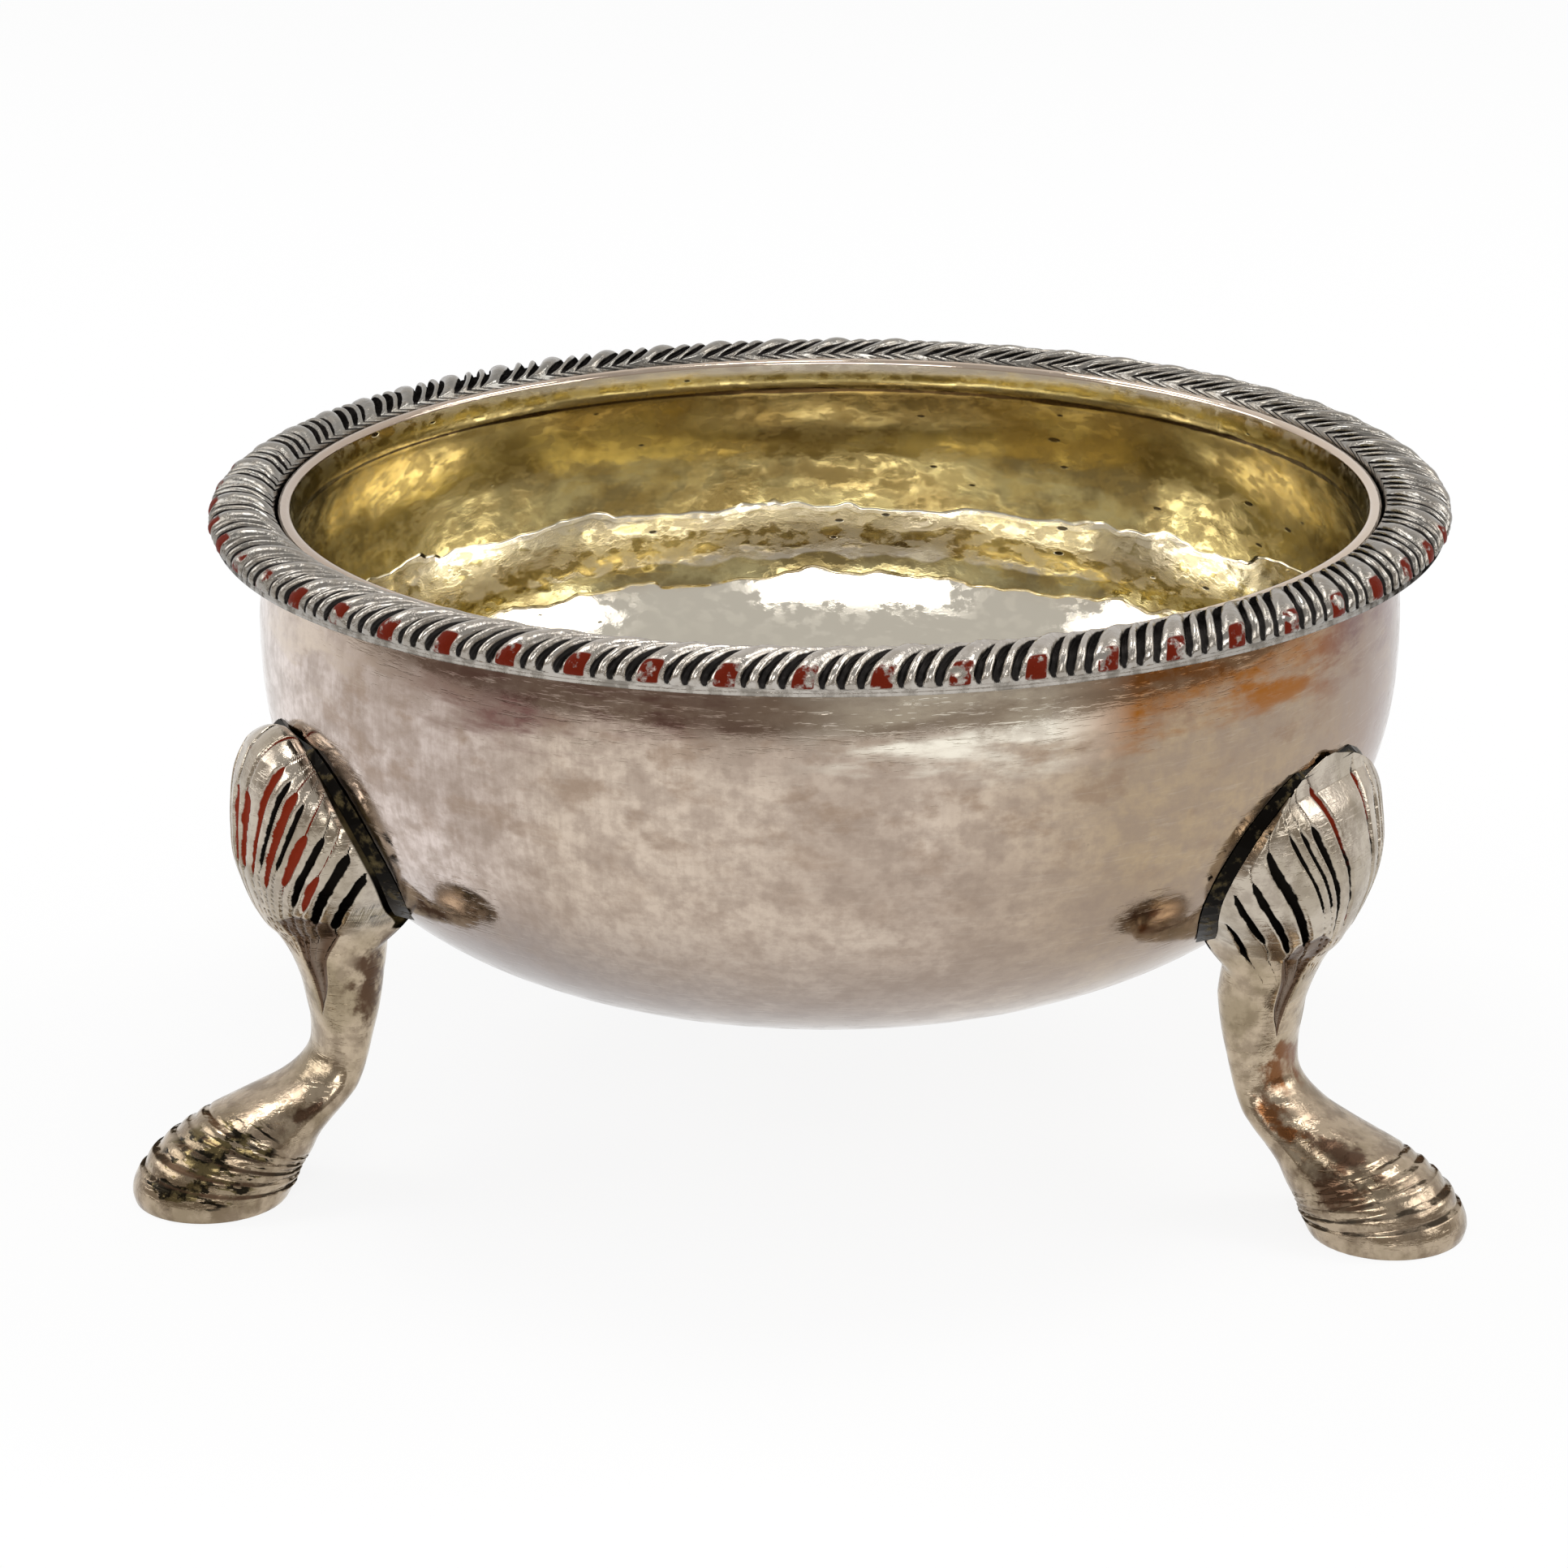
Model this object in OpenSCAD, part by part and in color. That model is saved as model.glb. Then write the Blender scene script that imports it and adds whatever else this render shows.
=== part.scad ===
// Round salt cellar: a raised bowl with a gadrooned rim wire, on three cast legs.
// Millimetres, +Z up. The origin is where the bowl's axis meets the table.
// The front is towards -Y, between two legs; the third leg stands at the back.

/* [Bowl] */
// Widest outside diameter of the bowl
bowl_d = 66.4; // [60:0.2:74]
// Height of the underside above the table
underside_z = 8.6; // [7:0.2:10.6]
// Height of the lower curve, from the underside up to the widest part
lower_h = 21.6; // [19:0.2:25]
// Height of the neck, from the widest part up to the lip
neck_h = 7; // [5.6:0.2:8.4]
// Squareness of the lower curve, where 2 is an ellipse
fullness = 2.5; // [2.1:0.1:2.9]
// Thickness of the hammered wall
wall = 0.9; // [0.6:0.1:1.2]
// How far the neck turns in, from the widest part to the lip
neck_in = 1.4; // [0.8:0.1:2]
// Thickness of the lip at its top
lip_t = 0.6; // [0.4:0.1:0.8]
// How far the throat stands in from the mouth
throat_in = 0.2; // [0:0.05:0.4]
// Depth of the throat below the lip
throat_drop = 1.8; // [1:0.1:3]

/* [Gadrooned rim] */
// Overhang of the rim past the bowl's lip
rim_w = 4.2; // [3.4:0.1:5]
// Drop from the top of the lip to the rim's widest circle
rim_under_lip = 0.5; // [0.3:0.1:0.8]
// Rise of the gadroons' crest above the widest circle
crest_rise = 1.3; // [1:0.1:1.8]
// Drop of the rim's underside below the widest circle
rim_drop = 0.9; // [0.8:0.05:1.2]
// Height of the plain band under the gadroons
band_h = 0.4; // [0.3:0.05:0.5]
// Overhang of the widest circle past the plain band's foot
band_in = 0.7; // [0.4:0.1:1]
// Depth of the grooves between the gadroons
gadroon_depth = 0.5; // [0.2:0.05:0.7]
// Number of lobes round the rim, each with its pair of thin ribs
gadroon_count = 56; // [48:1:60]
// Clockwise sweep of each lobe from its inner to its outer end, in degrees
gadroon_sweep = 6.5; // [0:0.5:9]

/* [Legs] */
// How far the middle of each sole stands out past the bowl's widest part
leg_splay = 5.4; // [4:0.2:8]
// Drop from the bowl's widest part to the top of the knee
knee_drop = 3.4; // [2.4:0.2:5]
// Height of the knee's seat on the bowl
knee_h = 10.4; // [9:0.2:12]
// Width of the knee against the bowl
knee_w = 14.4; // [11:0.2:16]
// Greatest depth of the knee, out from the bowl
knee_depth = 5.8; // [4.8:0.2:7]
// Height of the standing edge of the knee
knee_edge = 1.1; // [0.6:0.1:1.4]
// How far the middle of the shank stands in from the bowl's widest part
shank_in = 3.1; // [2.3:0.1:3.9]
// Thickness of the shank, from its front to its back
shank_t = 3.6; // [3:0.1:4.4]
// Width of the shank
shank_w = 6; // [4.6:0.2:6.8]
// Length of the hoof, heel to toe
hoof_l = 9.4; // [8:0.2:10.4]
// Width of the hoof
hoof_w = 9.2; // [7:0.2:10]
// Number of flutes on each side of the knee
flute_count = 7; // [5:1:9]
// Depth of the flutes
flute_depth = 0.35; // [0:0.05:0.5]
// Number of steps round the hoof
ridge_count = 4; // [3:1:5]
// Depth of the steps
ridge_depth = 0.28; // [0:0.02:0.4]

/* [Solder] */
// Width of the solder seams
solder_w = 0.6; // [0.4:0.1:0.8]
// Clearance between pieces that are soldered together
film = 0.05; // [0.04:0.01:0.08]

/* [Hidden] */

$fn = 96;

// Compass bearing of each leg round the bowl, in degrees from +X
front_left_turn = -150;
front_right_turn = -30;
back_turn = 90;
// How far each leg was set out of the drawn radius when it was soldered on
front_left_set = 0.6;
front_right_set = -0.6;
back_set = 0;

bowl_r = bowl_d / 2;
neck_r = bowl_r - neck_in;
mouth_r = neck_r - lip_t;
throat_r = mouth_r - throat_in;
inner_r = bowl_r - wall;
belly_z = underside_z + lower_h;
lip_z = belly_z + neck_h;
throat_z = lip_z - throat_drop;
bowl_steps = 36;
neck_steps = 10;
lip_steps = 6;

// Outside radius of the bowl at height z
function outside(z) =
    z >= belly_z
    ? bowl_r - (bowl_r - neck_r) * pow((z - belly_z) / (lip_z - belly_z), 2)
    : bowl_r * pow(1 - pow((belly_z - z) / (belly_z - underside_z), fullness), 1 / fullness);

// Points of a full lower curve from the bottom centre up to the belly
function lower_curve(r, floor_z) = [
    for (i = [0:bowl_steps])
        let (a = 90 * (1 - i / bowl_steps))
        [r * pow(cos(a), 2 / fullness), belly_z - (belly_z - floor_z) * pow(sin(a), 2 / fullness)]
];

// Points of the outside from above the belly up to the lip
function outside_neck() = [
    for (i = [1:neck_steps])
        let (z = belly_z + (lip_z - lip_t / 2 - belly_z) * i / neck_steps)
        [outside(z), z]
];

// Inside radius above the belly: in to the throat, then a little out to the lip
function inside(z) =
    z <= throat_z
    ? inner_r - (inner_r - throat_r) * pow((z - belly_z) / (throat_z - belly_z), 2)
    : throat_r + (mouth_r - throat_r) * pow((z - throat_z) / throat_drop, 2);

function inside_neck() = [
    for (i = [1:neck_steps])
        let (z = belly_z + (lip_z - lip_t / 2 - belly_z) * i / neck_steps)
        [inside(z), z]
];

// Rounded top of the lip, from its outside over to its inside
function lip_round() = [
    for (i = [1:lip_steps - 1])
        let (
            top = lip_z - lip_t / 2,
            middle = (outside(top) + inside(top)) / 2,
            half = (outside(top) - inside(top)) / 2,
            a = 180 * i / lip_steps
        )
        [middle + half * cos(a), top + lip_t / 2 * sin(a)]
];

function reversed(list) = [for (i = [len(list) - 1:-1:0]) list[i]];

module bowl() {
    color("silver")
    rotate_extrude()
    polygon(concat(
        lower_curve(bowl_r, underside_z),
        outside_neck(),
        lip_round(),
        reversed(inside_neck()),
        reversed(lower_curve(inner_r, underside_z + wall))
    ));
}

// Triangles of a closed ring of closed sections, all with the same number of points
function ring_faces(sections, points) = [
    for (i = [0:sections - 1], j = [0:points - 1])
        let (
            i2 = (i + 1) % sections,
            j2 = (j + 1) % points,
            a = i * points + j,
            b = i2 * points + j,
            c = i2 * points + j2,
            d = i * points + j2
        )
        each [[a, b, c], [a, c, d]]
];

// Triangles of an open run of closed sections, with a fan over each end
function run_faces(sections, points) = concat(
    [
        for (i = [0:sections - 2], j = [0:points - 1])
            let (
                j2 = (j + 1) % points,
                a = i * points + j,
                b = a + points,
                c = (i + 1) * points + j2,
                d = i * points + j2
            )
            each [[a, b, c], [a, c, d]]
    ],
    [for (j = [1:points - 2]) [0, j, j + 1]],
    [
        for (j = [1:points - 2])
            let (s = (sections - 1) * points)
            [s, s + j + 1, s + j]
    ]
);

// The gadrooned wire
rim_r = neck_r + rim_w;
rim_z = lip_z - rim_under_lip;
rim_foot_z = rim_z - rim_drop;
gadroon_in = outside(lip_z - lip_t) + film;
gadroon_in_z = lip_z - lip_t / 4;
gadroon_middle = (gadroon_in + rim_r) / 2;
gadroon_half = (rim_r - gadroon_in) / 2;
// One lobe and its two ribs: place within the pitch, height out of the groove
gadroon_shares = [
    [0, 0], [0.07, 0.75], [0.2, 1], [0.33, 0.8], [0.42, 0], [0.56, 0.7], [0.69, 0], [0.84, 0.7]
];
// Round the wire from its inner to its outer low end: turn in degrees, share of the full relief
gadroon_round = [[165, 0.1], [132, 0.9], [98, 1], [62, 1], [26, 0.9], [-12, 0.5]];

// A point of the wire's skin, sunk from the full lobe by the groove at this place
function gadroon_point(turn, sink, progress) =
    let (
        inner_lift = (gadroon_in_z - rim_z) * pow(1 - progress, 2),
        rise = crest_rise - gadroon_depth / 4,
        r = gadroon_middle + (gadroon_half - sink) * cos(turn),
        z = rim_z + inner_lift + (rise - sink) * sin(turn)
    )
    [r, z];

// Section of the wire at column i: foot of the seat, its top, the gadroons, the plain band
function wire_section(i) =
    let (
        place = gadroon_shares[i % len(gadroon_shares)],
        unit = floor(i / len(gadroon_shares)),
        theta = 360 / gadroon_count * (unit + place[0]),
        last = len(gadroon_round) - 1,
        skin = [
            for (k = [0:last])
                let (
                    progress = k / last,
                    sink = gadroon_depth * gadroon_round[k][1] * (1 - place[1]),
                    p = gadroon_point(gadroon_round[k][0], sink, progress),
                    sweep = gadroon_sweep * (1 - pow(1 - progress, 2))
                )
                [p[0], p[1], theta - sweep]
        ],
        outer = theta - gadroon_sweep
    )
    concat(
        [
            [outside(rim_foot_z) + film, rim_foot_z, theta],
            [gadroon_in, gadroon_in_z - lip_t / 2, theta]
        ],
        skin,
        [
            [rim_r - band_in / 2, rim_foot_z + band_h, outer],
            [rim_r - band_in, rim_foot_z, outer]
        ]
    );

module gadroon_rim() {
    columns = gadroon_count * len(gadroon_shares);
    sections = [for (i = [0:columns - 1]) wire_section(i)];
    color("gainsboro")
    polyhedron(
        points = [for (s = sections) each [for (p = s) [p[0] * cos(p[2]), p[0] * sin(p[2]), p[1]]]],
        faces = ring_faces(columns, len(sections[0])),
        convexity = 6
    );
}

// A fillet of solder in the corner under the wire
module rim_solder() {
    top = rim_foot_z - film;
    color("dimgray")
    rotate_extrude()
    polygon([
        [outside(top) + film, top],
        [outside(top - solder_w) + film, top - solder_w],
        [outside(top) + film + solder_w, top]
    ]);
}

// Legs. A station holds [back out, back up, depth, half width, tilt, seat, edge]: the middle of its
// back, its depth and half width, the tilt of its depth above level, how far it follows the bowl
// (0 or 1), and the height at which its sides turn in.

leg_reach = bowl_r + leg_splay;
shank_out = bowl_r - shank_in;
knee_top_z = belly_z - knee_drop;
knee_root_z = knee_top_z - knee_h;
// Down the knee: place on the seat, shares of knee_depth and knee_w, tilt in degrees
knee_shares = [
    [0, 0.09, 0.12, 50],
    [0.06, 0.175, 0.42, 32],
    [0.15, 0.3, 0.66, 18],
    [0.27, 0.47, 0.85, 8],
    [0.4, 0.61, 0.96, 0],
    [0.52, 0.735, 1, -4],
    [0.64, 0.84, 0.98, -6],
    [0.76, 0.91, 0.88, -8],
    [0.88, 0.97, 0.72, -10],
    [1, 1, 0.56, -10]
];
// Down the shank: place from shank_out to leg_reach, place below the knee, depth as shares of
// shank_t, width as shares of shank_w, tilt in degrees
shank_shares = [
    [0.06, 0.872, 1.49, 1.12, -7],
    [0.02, 0.756, 1.3, 1.03, -5],
    [0.02, 0.646, 1.1, 1, 0],
    [0.035, 0.555, 0.91, 0.96, 7],
    [0.065, 0.463, 0.81, 0.92, 13],
    [0.13, 0.396, 0.87, 0.94, 18],
    [0.25, 0.332, 1.07, 1.03, 19]
];
// Down the hoof: the same places, depth as shares of hoof_l, width as shares of hoof_w
hoof_shares = [
    [0.385, 0.287, 0.54, 0.73, 19],
    [0.522, 0.244, 0.65, 0.81, 19],
    [0.653, 0.2, 0.785, 0.88, 18],
    [0.794, 0.152, 0.895, 0.94, 15],
    [0.906, 0.1, 0.974, 0.98, 11],
    [0.976, 0.055, 1, 1, 6],
    [1, 0.0226, 1, 1, 3],
    [1, 0, 0.973, 0.975, 0]
];
knee_stations = [
    for (k = knee_shares)
        let (z = knee_top_z - (knee_top_z - knee_root_z) * k[0])
        [
            outside(z) + film, z, knee_depth * k[1], knee_w / 2 * k[2], k[3], 1,
            min(knee_edge, knee_depth * k[1] / 2)
        ]
];
lower_stations = [
    for (part = [[shank_shares, shank_t, shank_w], [hoof_shares, hoof_l, hoof_w]], s = part[0])
        let (
            depth = part[1] * s[2],
            out = shank_out + (leg_reach - shank_out) * s[0] - depth / 2 * cos(s[4]),
            up = knee_root_z * s[1] - depth / 2 * sin(s[4])
        )
        [out, up, depth, part[2] * s[3] / 2, s[4], 0, depth / 2]
];
stations = concat(knee_stations, lower_stations);
station_steps = 2;
sole_station = len(stations) - 1;
knee_last = len(knee_stations) - 1;

// Smooth curve through four rows of numbers, at t between the second and the third
function through(a, b, c, d, t) =
    (2 * b + (c - a) * t + (2 * a - 5 * b + 4 * c - d) * t * t + (3 * b - a - 3 * c + d) * t * t * t) / 2;

function station_at(x) =
    let (
        i = min(floor(x), sole_station - 1),
        t = x - i,
        smooth = through(
            stations[max(i - 1, 0)], stations[i], stations[i + 1],
            stations[min(i + 2, sole_station)], t
        ),
        seat = i < knee_last ? 1 : i == knee_last ? 1 - t : 0,
        up = max(smooth[1], 0),
        bowl_out = outside(up) + film
    )
    x <= knee_last
    ? [bowl_out, up, smooth[2], smooth[3], smooth[4], 1, smooth[6]]
    : [
        up > underside_z ? max(smooth[0], bowl_out) : smooth[0],
        up, smooth[2], smooth[3], smooth[4], seat, smooth[6]
    ];

// Turns across the front of a section and places across its back, in degrees
front_turns = [for (a = [-90:7.5:90]) a];
back_turns = [for (a = [75:-25:-75]) a];
back_end = back_turns[0];
// The flutes fan down the knee on curves, each with its own root of station times turn. These are the
// first and the last root, the stations between, and the turn over which a flute runs out at the edge.
flute_roots = [7.7, 25.5];
flutes_from = 1.5;
flutes_to = 8.6;
flute_run_out = 15;
// A leg that was set out leans as well: how much further its top stands out than its shank, the
// station where that is greatest, and the station from which it is no more
lean_share = 1.2;
lean_from = 2;
lean_to = 5;
// Where the hoof's steps lie, in stations above the sole
ridges_from = 6.5;

// Depth of the flutes at station x and a turn away from the crest
function flute(x, turn) =
    let (
        root = sqrt(x * abs(turn)),
        along = (root - flute_roots[0]) / (flute_roots[1] - flute_roots[0]),
        down = (x - flutes_from) / (flutes_to - flutes_from),
        edge = min(1, (90 - abs(turn)) / flute_run_out)
    )
    down > 0 && down < 1 && root > flute_roots[0] / 2
    ? flute_depth * pow(cos(180 * (flute_count - 1) * along), 2) * edge * sqrt(sin(180 * down))
    : 0;

// Depth of the steps at station x, deepest just under each tread
function ridge(x) =
    let (
        up = (sole_station - x) / ridges_from,
        phase = up * ridge_count - floor(up * ridge_count)
    )
    up > 0 && up < 1 ? ridge_depth * phase : 0;

function bowl_sag(out, t) = out - sqrt(out * out - t * t);

// Share of a leg's set that its knee has at station x
function knee_set(x) = min(1, x / lean_from) * (1 + lean_share * max(0, 1 - x / lean_to));

// Section at station x as points [out, along the tangent, up]
function leg_section(x, set) =
    let (
        s = station_at(x),
        u = [cos(s[4]), sin(s[4])],
        set_out = x <= knee_last ? 0 : set * min(1, (x - knee_last) / 2),
        reach = x <= knee_last ? set * knee_set(x) : set - set_out,
        depth = s[2] + reach,
        half = s[3] - ridge(x),
        out = s[0] + set_out
    )
    concat(
        [
            for (a = front_turns)
                let (
                    lift = s[6] + (depth - s[6]) * cos(a) - flute(x, a) - ridge(x) * cos(a),
                    t = half * sin(a)
                )
                [out - s[5] * bowl_sag(s[0], t) + u[0] * lift, t, s[1] + u[1] * lift]
        ],
        [
            for (a = back_turns)
                let (
                    lift = (1 - s[5]) * s[6] * (1 - cos(a)),
                    t = half * ((1 - s[5]) * sin(a) + s[5] * a / back_end)
                )
                [out - s[5] * bowl_sag(s[0], t) + u[0] * lift, t, s[1] + u[1] * lift]
        ]
    );

module leg(turn, set) {
    count = sole_station * station_steps + 1;
    sections = [for (i = [0:count - 1]) leg_section(i / station_steps, set)];
    color("silver")
    rotate([0, 0, turn])
    polyhedron(
        points = [for (s = sections) each s],
        faces = run_faces(count, len(sections[0])),
        convexity = 6
    );
}

module leg_front_left() {
    leg(front_left_turn, front_left_set);
}

module leg_front_right() {
    leg(front_right_turn, front_right_set);
}

module leg_back() {
    leg(back_turn, back_set);
}

// Outline of the knee's seat as [along the tangent, up, tilt], up one side and down the other
solder_places = [for (i = [2:knee_last * station_steps - 1]) i / station_steps];
seat_outline = concat(
    [for (x = reversed(solder_places)) let (s = station_at(x)) [s[3], s[1], s[4]]],
    [for (x = solder_places) let (s = station_at(x)) [-s[3], s[1], s[4]]]
);

function on_bowl(t, z, off) = [sqrt(pow(outside(z) + off, 2) - t * t), t, z];

// Section of the seam: the corner, the edge that lies on the knee and the edge that lies on the bowl
function seam_section(i) =
    let (
        last = len(seat_outline) - 1,
        here = seat_outline[i],
        along = seat_outline[min(i + 1, last)] - seat_outline[max(i - 1, 0)],
        length = norm([along[0], along[1]]),
        away = [along[1], -along[0]] / length,
        corner = [here[0] + away[0] * film, here[1] + away[1] * film],
        rim = [here[0] + away[0] * (film + solder_w), here[1] + away[1] * (film + solder_w)],
        foot = on_bowl(corner[0], corner[1], film),
        rise = min(solder_w, knee_edge / 2)
    )
    [
        foot,
        foot + rise * [cos(here[2]), 0, sin(here[2])],
        on_bowl(rim[0], rim[1], film)
    ];

module knee_solder(turn) {
    sections = [for (i = [0:len(seat_outline) - 1]) seam_section(i)];
    color("dimgray")
    rotate([0, 0, turn])
    polyhedron(
        points = [for (s = sections) each s],
        faces = run_faces(len(sections), len(sections[0])),
        convexity = 6
    );
}

module solder_front_left() {
    knee_solder(front_left_turn);
}

module solder_front_right() {
    knee_solder(front_right_turn);
}

module solder_back() {
    knee_solder(back_turn);
}

bowl();
gadroon_rim();
rim_solder();
leg_front_left();
leg_front_right();
leg_back();
solder_front_left();
solder_front_right();
solder_back();
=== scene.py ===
import math

import bmesh
import bpy
from mathutils import Matrix, Vector, noise


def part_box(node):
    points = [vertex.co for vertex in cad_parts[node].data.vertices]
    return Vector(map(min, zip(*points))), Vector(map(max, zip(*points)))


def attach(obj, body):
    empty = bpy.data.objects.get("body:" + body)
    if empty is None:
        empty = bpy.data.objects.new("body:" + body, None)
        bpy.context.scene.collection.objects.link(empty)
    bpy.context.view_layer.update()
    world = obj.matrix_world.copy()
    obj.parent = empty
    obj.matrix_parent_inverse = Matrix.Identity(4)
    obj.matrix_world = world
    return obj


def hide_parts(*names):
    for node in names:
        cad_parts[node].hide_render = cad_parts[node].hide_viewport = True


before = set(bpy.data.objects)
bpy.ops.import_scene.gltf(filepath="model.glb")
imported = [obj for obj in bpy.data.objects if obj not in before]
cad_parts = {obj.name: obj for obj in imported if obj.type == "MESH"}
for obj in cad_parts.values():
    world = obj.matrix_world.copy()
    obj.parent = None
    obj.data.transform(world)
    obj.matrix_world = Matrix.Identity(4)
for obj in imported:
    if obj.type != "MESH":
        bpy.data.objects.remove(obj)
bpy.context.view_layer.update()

bl_info = {
    "name": "Round salt cellar",
    "version": (1, 0, 0),
    "blender": (4, 5, 0),
    "location": "View3D > Sidebar > Salt cellar",
    "description": "Dresses a round salt cellar: hammered bowl, gadrooned rim and three cast legs",
    "category": "Add Mesh",
}

MM = 0.001
BODY = "root"


# Kinds of setting

def length(text, millimetres):
    return bpy.props.FloatProperty(
        description=text, default=millimetres * MM, min=0, precision=5, unit="LENGTH")


def offset(text, millimetres):
    return bpy.props.FloatProperty(
        description=text, default=millimetres * MM, precision=5, unit="LENGTH")


def turned(text, degrees):
    return bpy.props.FloatProperty(description=text, default=math.radians(degrees), unit="ROTATION")


def number(text, value):
    return bpy.props.FloatProperty(description=text, default=value, min=0)


def count(text, value):
    return bpy.props.IntProperty(description=text, default=value, min=1)


def colour(text, value):
    return bpy.props.FloatVectorProperty(
        description=text, default=value, size=3, min=0, max=1, subtype="COLOR")


def named(kind):
    """Names the settings of a kind after their keys, such as Belly height for belly_height."""
    for key, setting in kind.__annotations__.items():
        setting.keywords["name"] = key.replace("_", " ").capitalize()
    return kind


@named
class BowlSettings(bpy.types.PropertyGroup):
    """Sizes and colours of the bowl."""

    belly_height: length("Height of the widest part above the table", 30.2)
    fullness: number("Squareness of the lower curve, where 2 is an ellipse", 2.5)
    wall: length("Thickness of the hammered wall", 0.9)
    lip: length("Thickness of the lip at its top", 0.6)
    mouth: length("Inside radius of the mouth at the lip", 31.2)
    throat: length("Inside radius of the throat, just below the lip", 31)
    throat_drop: length("Depth of the throat below the lip", 1.8)
    facet: length("Width of one planishing mark", 3.6)
    outer_mark: length("Depth of the hammer marks outside", 0.025)
    inner_mark: length("Depth of the hammer marks inside", 0.05)
    tall_mark: length("Depth of the tall narrow marks inside", 0.035)
    sway: length("How far the raised wall strays from a true circle", 0.1)
    gilt_height: length("Height below which the gilding is worn away", 22.8)
    # band_height: top of a pale band of painted reflection, with a painted highlight along its top
    # edge
    band_height: length("Height below which the gilding is rubbed pale", 27)
    cool: colour("Lilac-grey toning at the left", (0.76, 0.655, 0.605))
    warm: colour("Yellowish toning at the right", (0.43, 0.325, 0.21))
    silver: colour("Cleaned silver outside", (0.64, 0.53, 0.43))
    cloud: colour("Light tarnish in patches", (0.31, 0.235, 0.185))
    plum: colour("Purple-brown tarnish under the rim", (0.17, 0.087, 0.074))
    amber: colour("Orange-brown toning under the rim", (0.3, 0.105, 0.015))
    # slate darkens the bowl towards the bottom
    slate: colour("Grey tarnish towards the bottom", (0.2, 0.165, 0.155))
    gilding: colour("Clean gilding", (0.7, 0.61, 0.31))
    bronze: colour("Browned gilding", (0.27, 0.2, 0.08))
    # This silver also colours the painted reflection band and its painted highlight inside.
    bare: colour("Silver where the gilding is gone", (0.93, 0.87, 0.74))


@named
class RimSettings(bpy.types.PropertyGroup):
    """Sizes and colours of the gadrooned rim."""

    crest_rise: length("Rise of the gadroons' crest above the widest circle", 1.29)
    drop: length("Drop of the underside below the widest circle", 0.9)
    band: length("Height of the plain band under the gadroons", 0.4)
    band_in: length("Overhang of the widest circle past the band's foot", 0.7)
    clearance: length("Gap between the rim and the bowl", 0.05)
    relief: length("Depth of the grooves between the gadroons", 0.5)
    gadroons: count("Number of broad lobes round the rim", 56)
    sweep: turned("Clockwise sweep of each lobe from its inner to its outer end", 5.4)
    silver: colour("Bright silver on the lobes", (0.49, 0.455, 0.41))
    soot: colour("Black tarnish in the grooves", (0.022, 0.02, 0.019))
    rouge: colour("Dried polishing paste", (0.13, 0.014, 0.006))
    # grey darkens the rim towards the sides and back
    grey: colour("Duller silver at the sides and back", (0.24, 0.23, 0.21))


@named
class LegSettings(bpy.types.PropertyGroup):
    """Sizes and colours of the legs."""

    reach: length("Distance from the bowl's axis to the middle of each sole", 38.6)
    knee_top: length("Height of the top of the knee above the table", 26.8)
    knee_root: length("Height at which the back of the leg leaves the bowl", 16.4)
    knee_width: length("Width of the knee against the bowl", 14.4)
    knee_depth: length("Greatest depth of the knee, out from the bowl", 5.8)
    knee_edge: length("Height of the standing edge of the knee", 1.1)
    shank_out: length("Distance from the bowl's axis to the middle of the shank", 30.1)
    shank_depth: length("Thickness of the shank, from its front to its back", 3.6)
    shank_width: length("Width of the shank", 6)
    hoof_length: length("Length of the hoof, heel to toe", 9.4)
    hoof_width: length("Width of the hoof", 9.2)
    heel_trim: length("How far the back of each ankle is filed away", 0.4)
    flute_depth: length("Depth of the flutes", 0.28)
    tongue_depth: length("Depth of the tongue below the flutes", 0.15)
    first_step: length("Height of the lowest step round the hoof", 1.3)
    step: length("Height of one step round the hoof", 0.76)
    step_depth: length("Depth of the steps round the hoof", 0.2)
    step_line: length("Width of the dark line at each step", 0.26)
    silver: colour("Worn silver on the crests", (0.54, 0.475, 0.39))
    dim: colour("Duller silver below the knee", (0.53, 0.43, 0.31))
    umber: colour("Brown tarnish at the ankle", (0.09, 0.05, 0.03))
    olive: colour("Dark yellowish tarnish on the hoof", (0.17, 0.13, 0.06))
    # soot also colours the painted shade on each knee's standing edge
    soot: colour("Black tarnish in the flutes and seams", (0.007, 0.006, 0.005))
    rust: colour("Reddish-brown tarnish at the ankle", (0.19, 0.075, 0.025))
    rouge: colour("Dried polishing paste in the flutes", (0.2, 0.022, 0.008))


@named
class StudioSettings(bpy.types.PropertyGroup):
    """Camera, lamps and floor."""

    lens: bpy.props.FloatProperty(description="Focal length in millimetres", default=103.75, min=1)
    camera_distance: length("From the camera to the middle of the rim", 262.8)
    camera_aside: offset("Shift of the camera to the right", -2.714)
    camera_lift: offset("Shift of the camera upwards in the picture", -16.765)
    camera_rise: turned("Elevation of the view", 19.04)
    camera_turn: turned("Turn of the view to the right of the front", 5.45)
    camera_roll: turned("Roll of the camera", 0.33)
    floor_size: length("Side of the floor", 12000)
    floor: colour("Colour of the floor", (0.95, 0.95, 0.95))
    horizon: colour("Room near the horizon, as the metal mirrors it", (0.37, 0.33, 0.29))
    sky: colour("Room above, as the metal mirrors it", (0.5, 0.49, 0.48))
    key_power: number("Power of each lamp above, in watts", 0.65)
    front_power: number("Power of the lamp above the camera, in watts", 0.8)
    side_power: number("Power of each lamp at the sides, in watts", 0.8)
    top_power: number("Power of the small lamp overhead, in watts", 0.35)
    room: number("Strength of the even light from all round", 0.45)


# Mesh tools

def linked(name, data):
    """A new object of some data, in the scene."""
    made = bpy.data.objects.new(name, data)
    bpy.context.scene.collection.objects.link(made)
    return made


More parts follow.
